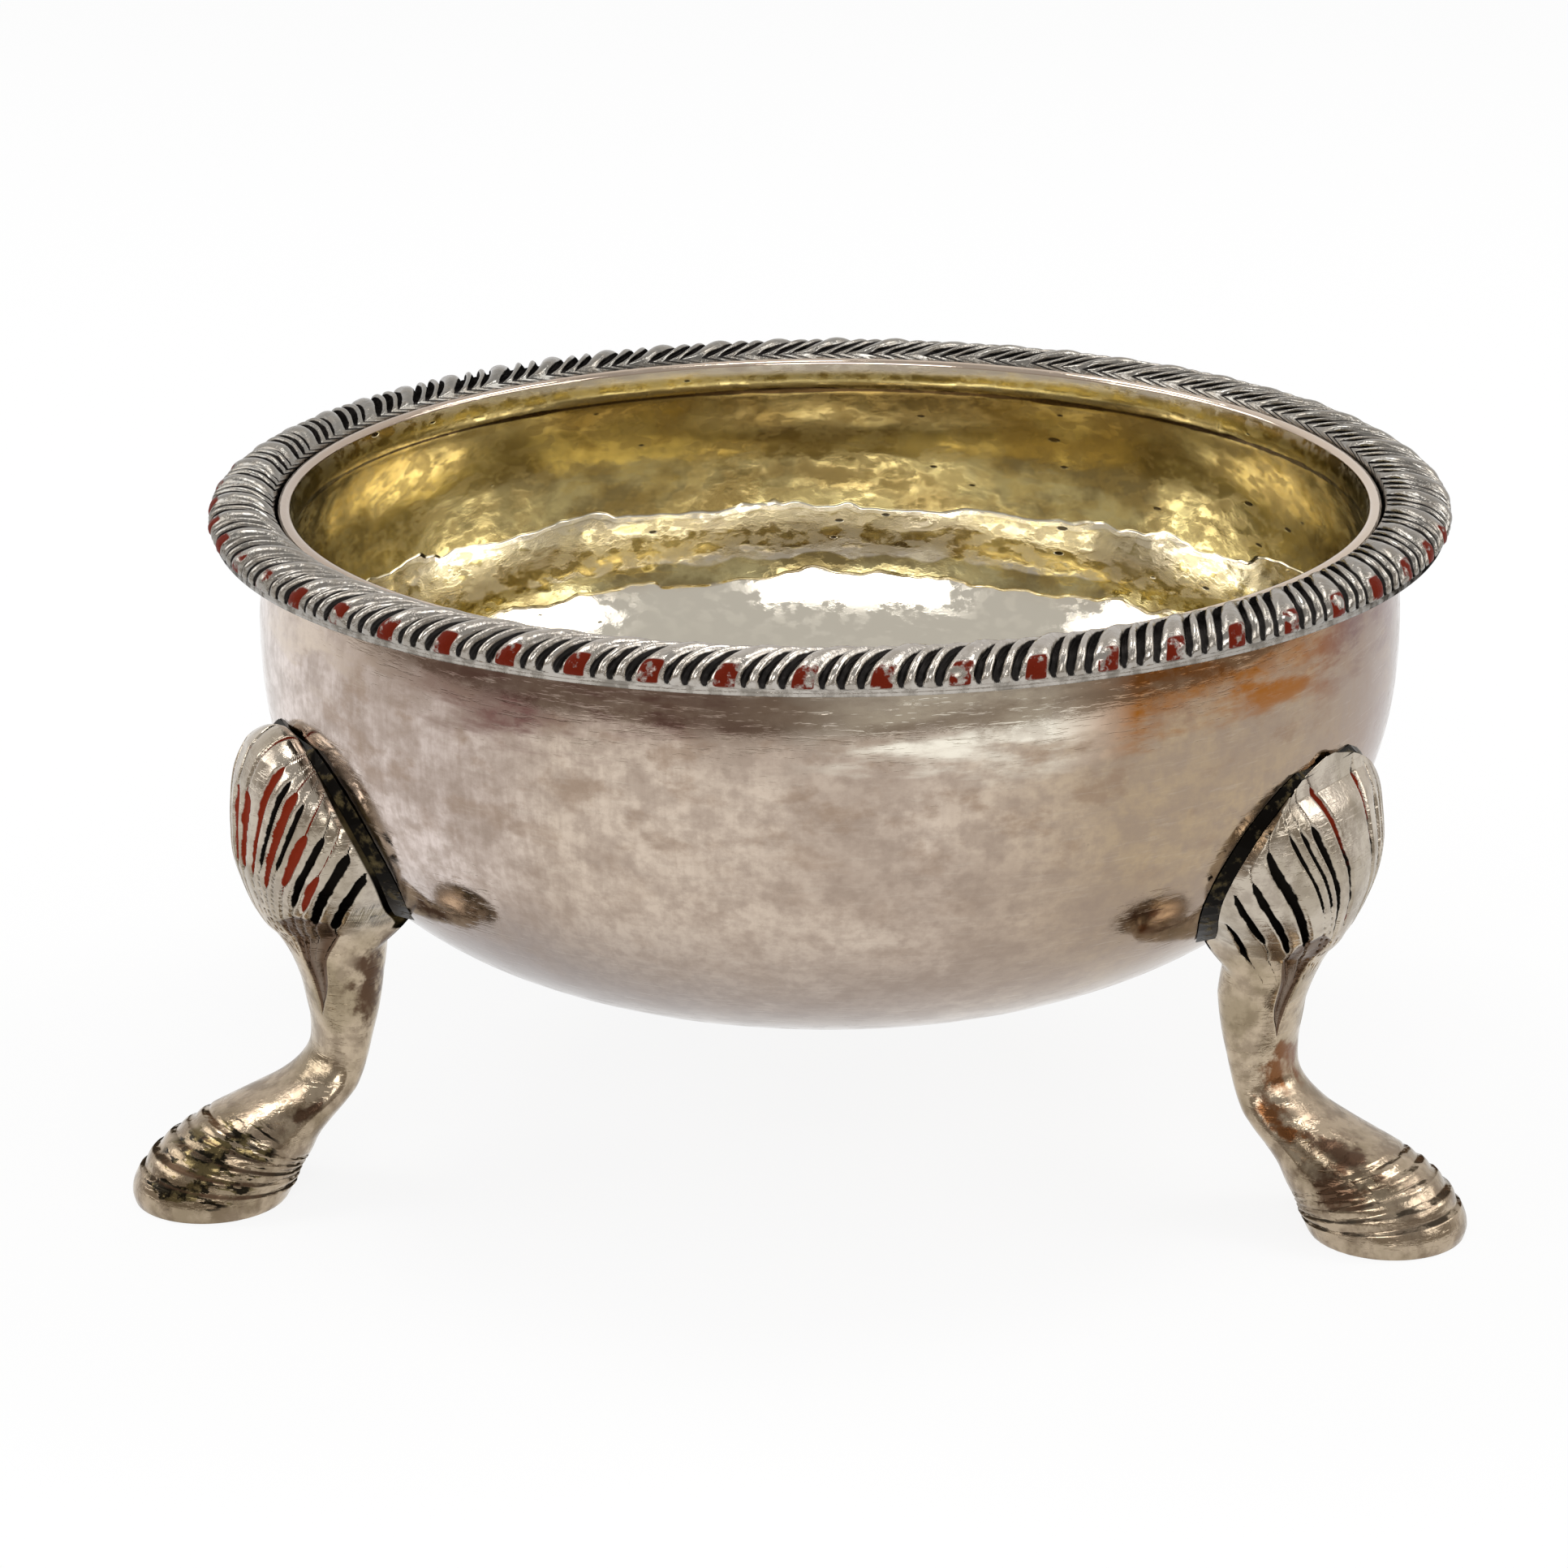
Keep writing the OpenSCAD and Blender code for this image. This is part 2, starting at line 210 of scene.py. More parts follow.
def meshed(bm, name, *materials):
    """A mesh of a bmesh, with its materials."""
    mesh = bpy.data.meshes.new(name)
    bm.to_mesh(mesh)
    bm.free()
    for material in materials:
        mesh.materials.append(material)
    return mesh


def finished(bm, name, *materials):
    """Makes an object of a bmesh, smooth and with its materials, that rides on the body."""
    mesh = meshed(bm, name, *materials)
    mesh.shade_smooth()
    piece = linked(name, mesh)
    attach(piece, BODY)
    return piece


def spun(outline, steps, closed=False, layer=None, marks=(), sectors=1):
    """Spins an outline of (radius, height) points round the bowl's axis, sector by sector."""
    bm = bmesh.new()
    values = bm.verts.layers.float.new(layer) if layer else None
    points = [bm.verts.new((r, 0, z)) for r, z in outline]
    for point, mark in zip(points, marks):
        point[values] = mark
    pairs = list(zip(points, points[1:]))
    if closed:
        pairs.append((points[-1], points[0]))
    edges = [bm.edges.new(pair) for pair in pairs]
    bmesh.ops.spin(
        bm, geom=points + edges, cent=(0, 0, 0), axis=(0, 0, 1), angle=math.tau / sectors,
        steps=steps, use_merge=sectors == 1)
    if sectors > 1:
        bmesh.ops.spin(
            bm, geom=[*bm.verts, *bm.edges, *bm.faces], cent=(0, 0, 0), axis=(0, 0, 1),
            angle=math.tau * (sectors - 1) / sectors, steps=sectors - 1, use_duplicate=True)
    bmesh.ops.remove_doubles(bm, verts=bm.verts, dist=1e-7)
    bmesh.ops.recalc_face_normals(bm, faces=bm.faces)
    return bm


def lofted(sections, layers):
    """Skins a run of closed sections of (place, values) points, one extrusion for each."""
    bm = bmesh.new()
    stores = [bm.verts.layers.float.new(name) for name in layers]
    ring = bmesh.ops.create_circle(bm, segments=len(sections[0]), radius=1)["verts"]
    edges = list(bm.edges)
    for number_of, section in enumerate(sections):
        if number_of:
            made = bmesh.ops.extrude_edge_only(bm, edges=edges)["geom"]
            fresh = {item for item in made if isinstance(item, bmesh.types.BMVert)}
            edges = [
                item for item in made
                if isinstance(item, bmesh.types.BMEdge) and set(item.verts) <= fresh]
            ring = [
                next(edge.other_vert(old) for edge in old.link_edges
                     if edge.other_vert(old) in fresh)
                for old in ring]
        for vertex, (place, values) in zip(ring, section):
            vertex.co = place
            for store, value in zip(stores, values):
                vertex[store] = value
    bmesh.ops.holes_fill(bm, edges=bm.edges, sides=0)
    bmesh.ops.recalc_face_normals(bm, faces=bm.faces)
    return bm


def smooth(value, low, high):
    """0 below low, 1 above high, with a soft turn at both."""
    t = min(max((value - low) / (high - low), 0), 1)
    return t * t * (3 - 2 * t)


def hammer_mark(place, width):
    """Height between 0 in the middle of a hammer mark and 1 at its edge."""
    nearest = noise.voronoi(place / width)[0][0]
    return min(nearest * nearest, 1)


# Material tools

def tree_of(values):
    """The node tree of the first socket among some values."""
    return next(value.id_data for value in values if isinstance(value, bpy.types.NodeSocket))


def plugged(node, sockets):
    """Feeds a node's inputs with values or with other sockets."""
    for key, value in sockets.items():
        if isinstance(value, bpy.types.NodeSocket):
            node.id_data.links.new(value, node.inputs[key])
        else:
            node.inputs[key].default_value = value
    return node


def add(tree, kind, sockets=None, **settings):
    """Adds a shader node, sets it and feeds its inputs."""
    made = tree.nodes.new("ShaderNode" + kind)
    for name, value in settings.items():
        setattr(made, name, value)
    return plugged(made, sockets or {})


def maths(operation, *values):
    sockets = dict(enumerate(values))
    return add(tree_of(values), "Math", sockets, operation=operation).outputs[0]


def plus(first, second):
    return maths("ADD", first, second)


def minus(first, second):
    return maths("SUBTRACT", first, second)


def times(first, second):
    return maths("MULTIPLY", first, second)


def most(first, second):
    return maths("MAXIMUM", first, second)


def rgba(value):
    if isinstance(value, bpy.types.NodeSocket):
        return value
    return (*value, 1)


def mixed(factor, first, second):
    """Mixes two colours by a mask."""
    sockets = {0: factor, 6: rgba(first), 7: rgba(second)}
    return add(tree_of(sockets.values()), "Mix", sockets, data_type="RGBA").outputs[2]


def stained(base, stain, mask, share):
    """Lays a stain over a base where a mask is 1, at a share of its strength."""
    return mixed(times(mask, share), base, stain)


def between(value, low, high, start=0.0, end=1.0):
    """Maps a value from low to high softly onto start to end."""
    sockets = {0: value, 1: low, 2: high, 3: start, 4: end}
    made = add(value.id_data, "MapRange", sockets, interpolation_type="SMOOTHSTEP")
    return made.outputs[0]


def spread(value, *stops):
    """Colours spread along a value, as (value, colour) stops in rising order."""
    low, high = stops[0][0], stops[-1][0]
    tree = value.id_data
    share = add(tree, "MapRange", {0: value, 1: low, 2: high}).outputs[0]
    made = add(tree, "ValToRGB", {0: share})
    elements = made.color_ramp.elements
    elements[1].position = (stops[1][0] - low) / (high - low)
    while len(elements) < len(stops):
        elements.new((stops[len(elements)][0] - low) / (high - low))
    for element, stop in zip(elements, stops):
        element.color = rgba(stop[1])
    return made.outputs[0]


def new_group(name, inputs):
    """An empty shader group with number or vector inputs and a mask as its output."""
    tree = bpy.data.node_groups.new(name, "ShaderNodeTree")
    for key, default in inputs.items():
        kind = "NodeSocketVector" if default is None else "NodeSocketFloat"
        socket = tree.interface.new_socket(key, in_out="INPUT", socket_type=kind)
        if default is not None:
            socket.default_value = default
    tree.interface.new_socket("Mask", in_out="OUTPUT", socket_type="NodeSocketFloat")
    source = tree.nodes.new("NodeGroupInput")
    sink = tree.nodes.new("NodeGroupOutput")
    return tree, source.outputs, sink.inputs[0]


def mottle_group(name):
    """Soft patches of a given width, in millimetres."""
    tree, source, sink = new_group(
        name, {"Vector": None, "Width": 10, "Low": 0.4, "High": 0.6, "Stretch": 1, "Detail": 4})
    squash = add(tree, "CombineXYZ", {0: 1, 1: 1, 2: source["Stretch"]}).outputs[0]
    place = add(tree, "VectorMath", {0: source["Vector"], 1: squash}, operation="MULTIPLY")
    scale = maths("DIVIDE", 1, source["Width"])
    grain = add(tree, "TexNoise", {
        "Vector": place.outputs[0], "Scale": scale, "Detail": source["Detail"],
        "Roughness": 0.6}).outputs[0]
    tree.links.new(between(grain, source["Low"], source["High"]), sink)
    return tree


def scratch_group(name):
    """Thin scratches in three directions."""
    tree, source, sink = new_group(name, {"Vector": None, "Width": 0.25})
    scale = maths("DIVIDE", 1, source["Width"])
    lines = []
    for turn, tilt in ((0.15, 0.1), (0.9, 0.7), (-0.6, 1.3)):
        turned_to = add(tree, "Mapping", {
            "Vector": source["Vector"], "Rotation": (tilt, turn, tilt),
            "Scale": (0.1, 0.1, 1)}).outputs[0]
        grain = add(tree, "TexNoise", {
            "Vector": turned_to, "Scale": scale, "Detail": 3, "Roughness": 0.7}).outputs[0]
        lines.append(between(grain, 0.58, 0.74))
    tree.links.new(most(most(lines[0], lines[1]), lines[2]), sink)
    return tree


def pit_group(name):
    """Scattered small pits, some cells having none."""
    tree, source, sink = new_group(name, {"Vector": None, "Spacing": 3, "Size": 0.12, "Share": 0.3})
    scale = maths("DIVIDE", 1, source["Spacing"])
    cell = add(tree, "TexVoronoi", {"Vector": source["Vector"], "Scale": scale})
    picked = add(tree, "SeparateColor", {0: cell.outputs["Color"]}).outputs
    size = times(source["Size"], picked[1])
    near = between(minus(size, cell.outputs["Distance"]), 0, 0.04)
    chosen = maths("LESS_THAN", picked[0], source["Share"])
    tree.links.new(times(near, chosen), sink)
    return tree


def placed(name, build, **sockets):
    """Places a shared group in a material, built at its first use, and returns its mask."""
    made = tree_of(sockets.values()).nodes.new("ShaderNodeGroup")
    made.node_tree = bpy.data.node_groups.get(name) or build(name)
    return plugged(made, sockets).outputs[0]


def mottle(vector, width, low, high, stretch, detail):
    return placed(
        "Mottle", mottle_group, Vector=vector, Width=width, Low=low, High=high,
        Stretch=stretch, Detail=detail)


def scratches(vector, width):
    return placed("Scratches", scratch_group, Vector=vector, Width=width)


def pits(vector, spacing, size, share):
    return placed("Pits", pit_group, Vector=vector, Spacing=spacing, Size=size, Share=share)


def shaded(name):
    """A new material, with its node tree and its shader."""
    material = bpy.data.materials.new(name)
    material.use_nodes = True
    tree = material.node_tree
    return material, tree, tree.nodes["Principled BSDF"]


def metal(name):
    """A new metal material, with its shader and the object's coordinates in millimetres."""
    material, tree, shader = shaded(name)
    shader.inputs["Metallic"].default_value = 1
    place = add(tree, "TexCoord").outputs["Object"]
    scaled = add(tree, "VectorMath", {0: place, "Scale": 1 / MM}, operation="SCALE").outputs[0]
    return material, tree, shader, scaled, add(tree, "SeparateXYZ", {0: scaled}).outputs


def attribute(tree, name):
    return add(tree, "Attribute", attribute_name=name).outputs["Fac"]


def bumped(shader, height, depth):
    """Feeds a height, in units of the given depth, to the shader's normal."""
    bump = add(shader.id_data, "Bump", {"Height": height, "Distance": depth})
    plugged(shader, {"Normal": bump.outputs[0]})


def cast_silver(shader, base, rough, darkened, paste, soot):
    """Feeds the shader of cast silver: dark and rough where darkened, no metal under paste."""
    plugged(shader, {
        "Specular IOR Level": 0.06, "Base Color": base, "Roughness": plus(rough, times(darkened, 0.3)),
        "Metallic": minus(1, paste), "Specular Tint": mixed(darkened, (1, 1, 1), soot)})


# Finishes. Widths, heights and places are in millimetres.

def outside_silver(s):
    """Silver of the bowl's outside: clouded, scratched, toned under the rim."""
    material, _, shader, place, axes = metal("outside_silver")
    cloud = mottle(place, 12, 0.4, 0.64, 1.3, 6)
    fine_cloud = mottle(place, 2, 0.42, 0.64, 1.3, 8)
    grain = mottle(place, 0.7, 0.4, 0.66, 1.2, 6)
    brush = mottle(place, 0.5, 0.42, 0.66, 0.14, 4)
    base = spread(axes[0], (-34, s.cool), (-19, s.cool), (-12, s.silver), (8, s.silver),
                  (18, s.warm), (28, s.warm), (32.5, s.plum))
    brushed = between(axes[0], 5, -20, 0.12, 0.32)
    for tarnish, share in ((cloud, 0.6), (fine_cloud, 0.5), (grain, 0.36), (brush, brushed)):
        base = stained(base, s.cloud, tarnish, share)
    # Darker grey towards the bottom, more at the left
    low = between(plus(axes[2], times(fine_cloud, 1.5)), 24, 15)
    base = stained(base, s.slate, low, between(axes[0], -20, 20, 0.9, 0.1))
    grime = mottle(place, 3.2, 0.5, 0.66, 1.6, 9)
    grime = times(grime, between(axes[2], 20, 31, 0.1, 0.6))
    grime_colour = [(plum + warm) / 2 for plum, warm in zip(s.plum, s.warm)]
    base = stained(base, grime_colour, grime, between(axes[0], 0, 22, 1, 1.4))
    streak = mottle(place, 7, 0.36, 0.66, 4.5, 8)
    high = between(plus(axes[2], times(streak, 2.2)), 31.4, 34.6)
    toned = times(high, between(streak, 0, 1, 0.4, 1))
    tone = spread(
        axes[0], (-34, s.silver), (-27, s.silver), (-22, s.cloud), (-15, s.plum),
        (-5, s.plum), (0, s.cloud), (5, s.bare), (14, s.bare), (18.5, s.amber), (27, s.amber),
        (30, s.plum), (36, s.plum))
    base = stained(base, tone, toned, between(fine_cloud, 0, 1, 1, 0.7))
    lip = between(axes[2], 36.3, 36.6)
    lip_colour = mixed(between(axes[0], -10, -26, 0, 0.5), s.silver, s.cloud)
    base = mixed(lip, base, lip_colour)
    scratch = scratches(place, 0.3)
    base = stained(base, s.bare, scratch, 0.07)
    pit = pits(place, 5, 0.1, 0.25)
    base = stained(base, (0.05, 0.035, 0.03), pit, 0.75)
    rough = plus(between(fine_cloud, 0, 1, 0.07, 0.16), times(scratch, 0.1))
    plugged(shader, {"Base Color": base, "Roughness": rough})
    height = minus(times(fine_cloud, 0.4), scratch)
    bumped(shader, minus(height, times(pit, 4)), 0.005 * MM)
    return material


def inside_gilding(s):
    """Inside gilding: browned, painted shade above, a painted reflection band, worn to silver in the
    well.
    """
    material, tree, shader, place, axes = metal("inside_gilding")
    brown = mottle(place, 6, 0.4, 0.6, 1.6, 8)
    fine = mottle(place, 1.3, 0.44, 0.6, 1.8, 8)
    aside = maths("ABSOLUTE", axes[0])
    # Browned gilding, with less brown at both ends as painted light
    base = stained(s.gilding, s.bronze, brown, between(aside, 18, 27, 0.85, 0.3))
    base = stained(base, s.bronze, fine, 0.45)
    wander = 1.1
    strayed = times(mottle(place, 8, 0.3, 0.7, 1, 3), wander)
    level = minus(axes[2], strayed)
    band, edge = s.band_height / MM - wander / 2, s.gilt_height / MM - wander / 2
    # Below the band height lies a pale band of painted reflection, with a painted highlight along
    # its top edge
    reflecting = between(level, band + 0.12, band - 0.12)
    ledge_highlight = between(level, band + 0.5, band + 0.3)
    under = between(level, edge + 1.3, edge + 1.1)
    worn = between(level, edge + 0.12, edge - 0.12)
    pale = times(minus(reflecting, under), 0.68)
    pale = times(pale, between(fine, 0, 1, 1, 0.75))
    pale = most(pale, minus(ledge_highlight, reflecting))
    # Painted shade on the upper wall under the throat, weaker at both ends as painted light
    shade = between(axes[2], 28, 34.5, 0, 0.74)
    base = stained(base, (0.15, 0.1, 0.03), shade, between(aside, 15, 25, 1, 0.1))
    # Above the throat's line the clean gilding comes back, without the painted shade
    base = mixed(between(axes[2], 35.7, 35.9, 0, 0.8), base, s.gilding)
    lip = between(axes[2], 36.2, 36.6)
    lip = times(lip, between(axes[0], -28, -10, 0.3, 1))
    # The painted reflection band, its painted highlight, the lip and the worn well all take the
    # silver colour
    base = mixed(most(most(pale, lip), worn), base, s.bare)
    flat = add(tree, "VectorMath", {0: place, 1: (1, 1, 3)}, operation="MULTIPLY").outputs[0]
    speck = pits(flat, 3, 0.17, 0.4)
    base = stained(base, (0.035, 0.022, 0.01), speck, 0.9)
    # A dark line of painted shade along the throat
    throat_shade = minus(attribute(tree, "throat_shade"), times(brown, 0.3))
    base = mixed(between(throat_shade, 0.35, 0.6), base, (0.05, 0.03, 0.012))
    rough = minus(between(fine, 0, 1, 0.12, 0.26), times(ledge_highlight, 0.06))
    plugged(shader, {"Base Color": base, "Roughness": rough})
    wave = mottle(place, 3, 0.3, 0.7, 1.3, 1.5)
    height = plus(times(wave, 2.5), times(fine, 0.3))
    height = minus(height, times(speck, 4))
    steps = minus(times(ledge_highlight, 10), times(worn, 4))
    bumped(shader, plus(height, steps), 0.008 * MM)
    return material


def rim_silver(s):
    """Silver of the gadroons: bright lobes, black grooves, dried paste at the lobes' feet."""
    material, tree, shader, place, axes = metal("rim_silver")
    fine = mottle(place, 0.9, 0.38, 0.66, 1, 6)
    # Darker towards the back and the sides
    behind = between(axes[1], -24, -4)
    base = stained(s.silver, s.grey, behind, between(axes[0], -20, 20, 1, 0.6))
    flank = between(maths("ABSOLUTE", axes[0]), 10, 30, 0, 0.58)
    base = mixed(flank, base, s.grey)
    base = stained(base, (0.3, 0.26, 0.21), fine, 0.5)
    ragged = plus(attribute(tree, "valley"), times(fine, 0.12))
    black = between(plus(ragged, times(behind, 0.25)), 0, 0.3)
    base = mixed(black, base, s.soot)
    patch = mottle(place, 1.1, 0.4, 0.5, 1, 6)
    paste = times(between(attribute(tree, "paste"), 0.2, 0.5), patch)
    base = mixed(paste, base, s.rouge)
    rough = between(fine, 0, 1, 0.12, 0.26)
    cast_silver(shader, base, rough, most(black, paste), paste, s.soot)
    bumped(shader, fine, 0.02 * MM)
    return material


def leg_silver(s):
    """Silver of the legs: worn crests, black and red-brown flutes, stained ankles and hooves."""
    material, tree, shader, place, axes = metal("leg_silver")
    fine = mottle(place, 1.2, 0.4, 0.64, 1, 6)
    cloud = mottle(place, 4, 0.42, 0.6, 1, 6)
    patchy = plus(times(cloud, 0.6), times(fine, 0.7))
    base = mixed(between(axes[2], 18.5, 14.5), s.silver, s.dim)
    tarnished = between(axes[2], 18, 13, 0.3, 0.42)
    base = stained(base, s.umber, fine, tarnished)
    base = stained(base, s.olive, cloud, tarnished)
    hoof = between(axes[2], 9, 5, 0, 0.34)
    base = stained(base, s.umber, hoof, between(patchy, 0, 1.2, 0.5, 1))

    def spotted(name, grain, low, high):
        value = plus(attribute(tree, name), times(grain, 0.7))
        return between(value, low, high)

    base = stained(base, s.umber, spotted("stain", patchy, 0.6, 1.25), 0.95)
    base = stained(base, s.rust, spotted("rust", patchy, 0.4, 1), 0.95)
    raised = times(attribute(tree, "level"), 3.5)
    flat = add(tree, "CombineXYZ", {0: axes[0], 1: axes[1], 2: raised}).outputs[0]
    grain = mottle(flat, 1.9, 0.44, 0.56, 1, 5)
    murky = mixed(between(fine, 0, 0.6, 0.1, 0.95), s.olive, s.soot)
    base = mixed(spotted("murk", grain, 0.86, 1.02), base, murky)
    tongue = attribute(tree, "tongue")
    base = stained(base, s.umber, between(tongue, 0, 0.12), 0.92)
    # A painted highlight down the middle of the tongue
    base = mixed(between(tongue, 0.5, 0.9, 0, 0.16), base, s.silver)
    line = minus(attribute(tree, "line"), times(grain, 0.6))
    lined = between(line, -0.3, 0.5)
    base = stained(base, mixed(cloud, s.soot, s.umber), lined, 0.85)
    cut = plus(attribute(tree, "gouge"), times(fine, 0.3))
    groove = between(cut, 0, 0.25)
    pasted = times(between(attribute(tree, "paste"), 0.05, 0.9), between(cloud, 0, 1, 1, 0.55))
    red = between(pasted, 0.3, 0.5)
    base = mixed(groove, base, mixed(red, s.soot, s.rouge))
    # Painted shade on the standing edge next to the bowl: black, with olive tarnish in patches
    wall = between(attribute(tree, "wall"), 0.12, 0.25)
    base = mixed(wall, base, stained(s.soot, s.olive, cloud, 0.4))
    # Tarnish in the flutes and step lines, and the painted shade on the standing edge
    darkened = most(most(groove, lined), wall)
    rough = between(fine, 0, 1, 0.13, 0.25)
    cast_silver(shader, base, rough, darkened, times(groove, red), s.soot)
    scratch = scratches(place, 0.25)
    bumped(shader, minus(fine, scratch), 0.012 * MM)
    return material


def old_solder(s):
    """Blackened solder of the seams."""
    material, _, shader, place, _ = metal("old_solder")
    grain = mottle(place, 0.8, 0.5, 0.7, 1, 6)
    plugged(shader, {
        "Base Color": stained(s.soot, s.olive, grain, 0.6),
        "Roughness": between(grain, 0, 1, 0.35, 0.6)})
    bumped(shader, grain, 0.05 * MM)
    return material


# Bowl

class BowlShape:
    """The bowl's curves, from the frame and the settings."""

    def __init__(self, s):
        low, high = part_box("bowl")
        self.s = s
        self.radius = high.x
        self.foot = low.z
        self.top = high.z
        self.belly = s.belly_height
        self.lip = s.lip
        self.throat_height = self.top - s.throat_drop

    def outside(self, z):
        if z >= self.belly:
            t = (z - self.belly) / (self.top - self.belly)
            return self.radius - (self.radius - self.s.mouth - self.lip) * t * t
        t = min((self.belly - z) / (self.belly - self.foot), 1)
        return self.radius * (1 - t ** self.s.fullness) ** (1 / self.s.fullness)

    def inside(self, z):
        inner = self.radius - self.s.wall
        if z <= self.throat_height:
            t = (z - self.belly) / (self.throat_height - self.belly)
            return inner - (inner - self.s.throat) * t * t
        t = (z - self.throat_height) / (self.top - self.throat_height)
        return self.s.throat + (self.s.mouth - self.s.throat) * t * t

    def lower(self, radius, floor, steps):
        """The lower curve, from the middle of the bottom up to the belly."""
        power = 2 / self.s.fullness
        turns = [math.pi / 2 * (1 - i / steps) for i in range(steps + 1)]
        return [
            (radius * max(math.cos(a), 0) ** power,
             self.belly - (self.belly - floor) * math.sin(a) ** power)
            for a in turns]

    def outline(self):
        """The whole section, from the bottom's outside over the lip to its inside."""
        lower_steps, neck_steps, lip_steps = 64, 16, 10
        top = self.top - self.lip / 2
        heights = [self.belly + (top - self.belly) * (i + 1) / neck_steps
                   for i in range(neck_steps)]
        middle = (self.outside(top) + self.inside(top)) / 2
        half = (self.outside(top) - self.inside(top)) / 2
        turns = [math.pi * (i + 1) / lip_steps for i in range(lip_steps - 1)]
        return {
            "outside": self.lower(self.radius, self.foot, lower_steps)
            + [(self.outside(z), z) for z in heights],
            "lip": [(middle + half * math.cos(a), top + self.lip / 2 * math.sin(a))
                    for a in turns],
            "inside": [(self.inside(z), z) for z in reversed(heights)]
            + self.lower(self.radius - self.s.wall, self.foot + self.s.wall, lower_steps)[::-1],
        }


def hammer_bowl(bm, s, shape, inner):
    """Moves the wall by its hammer marks and its sway, and marks a line of painted shade along the
    throat.
    """
    bm.normal_update()
    throat_shade = bm.verts.layers.float.new("throat_shade")
    moves = []
    for vertex in bm.verts:
        place = vertex.co
        within = vertex[inner]
        mark = hammer_mark(place, s.facet) - 0.5
        low_wave = noise.noise(place / (6 * s.facet))
        calm = 1 - smooth(place.z, shape.throat_height - 0.5 * MM, shape.throat_height)
        depth = s.outer_mark + (s.inner_mark - s.outer_mark) * within
        bearing = math.atan2(place.y, place.x) * s.throat
        tall = hammer_mark(Vector((bearing, 0.36 * place.z, 0)), s.facet / 2)
        tall *= within * smooth(place.z, shape.belly - 6 * MM, shape.belly)
        move = calm * (mark * depth + tall * s.tall_mark + low_wave * s.sway)
        moves.append((vertex, vertex.normal * move))
        # A line of painted shade along the throat, inside only
        off = abs(place.z - shape.throat_height + 0.1 * MM)
        vertex[throat_shade] = within * (1 - smooth(off, 0.08 * MM, 0.22 * MM))
    for vertex, move in moves:
        vertex.co += move


class SALT_OT_bowl(bpy.types.Operator):
    """Makes the raised bowl, hammered outside and inside"""

    bl_idname = "salt.bowl"
    bl_label = "Bowl"

    def execute(self, context):
        s = context.scene.salt_bowl
        shape = BowlShape(s)
        parts = shape.outline()
        points = parts["outside"] + parts["lip"] + parts["inside"]
        marks = [0] * (len(parts["outside"]) + len(parts["lip"])) + [1] * len(parts["inside"])
        around = 360
        bm = spun(points, around, layer="inner", marks=marks)
        inner = bm.verts.layers.float["inner"]
        for face in bm.faces:
            face.material_index = int(all(vertex[inner] > 0.5 for vertex in face.verts))
        hammer_bowl(bm, s, shape, inner)
        piece = finished(bm, "raised_bowl", outside_silver(s), inside_gilding(s))
        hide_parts("bowl")
        return {"FINISHED"}


# Gadrooned rim

def lobe(phase, middle, half):
    """Height of a round lobe, 1 at its middle and 0 past its sides."""
    t = abs(phase - middle) / half
    return math.sqrt(1 - t * t) if t < 1 else 0


# Across one pitch of the pattern, as shares of it
BROAD_MIDDLE = 0.25
BROAD_HALF_INSIDE = 0.165
BROAD_HALF_OUTSIDE = 0.21
FIRST_RIB_GAP = 0.155
FIRST_RIB_HALF = 0.076
SECOND_RIB_MIDDLE = 0.865
SECOND_RIB_HALF = 0.078
RIB_HEIGHT_SHARE = 0.85


def gadroon(phase, progress):
    """Height of the pattern and depth into a groove, at a place in its pitch and on the wire."""
    widening = (BROAD_HALF_OUTSIDE - BROAD_HALF_INSIDE) * smooth(progress, 0, 0.9)
    broad_half = BROAD_HALF_INSIDE + widening
    first_rib = BROAD_MIDDLE + broad_half + FIRST_RIB_GAP
    places = (
        (1, BROAD_MIDDLE, broad_half), (RIB_HEIGHT_SHARE, first_rib, FIRST_RIB_HALF),
        (RIB_HEIGHT_SHARE, SECOND_RIB_MIDDLE, SECOND_RIB_HALF))
    level = max(height * lobe(phase, middle, half) for height, middle, half in places)
    return level, min(abs(phase - middle) - half for _, middle, half in places)


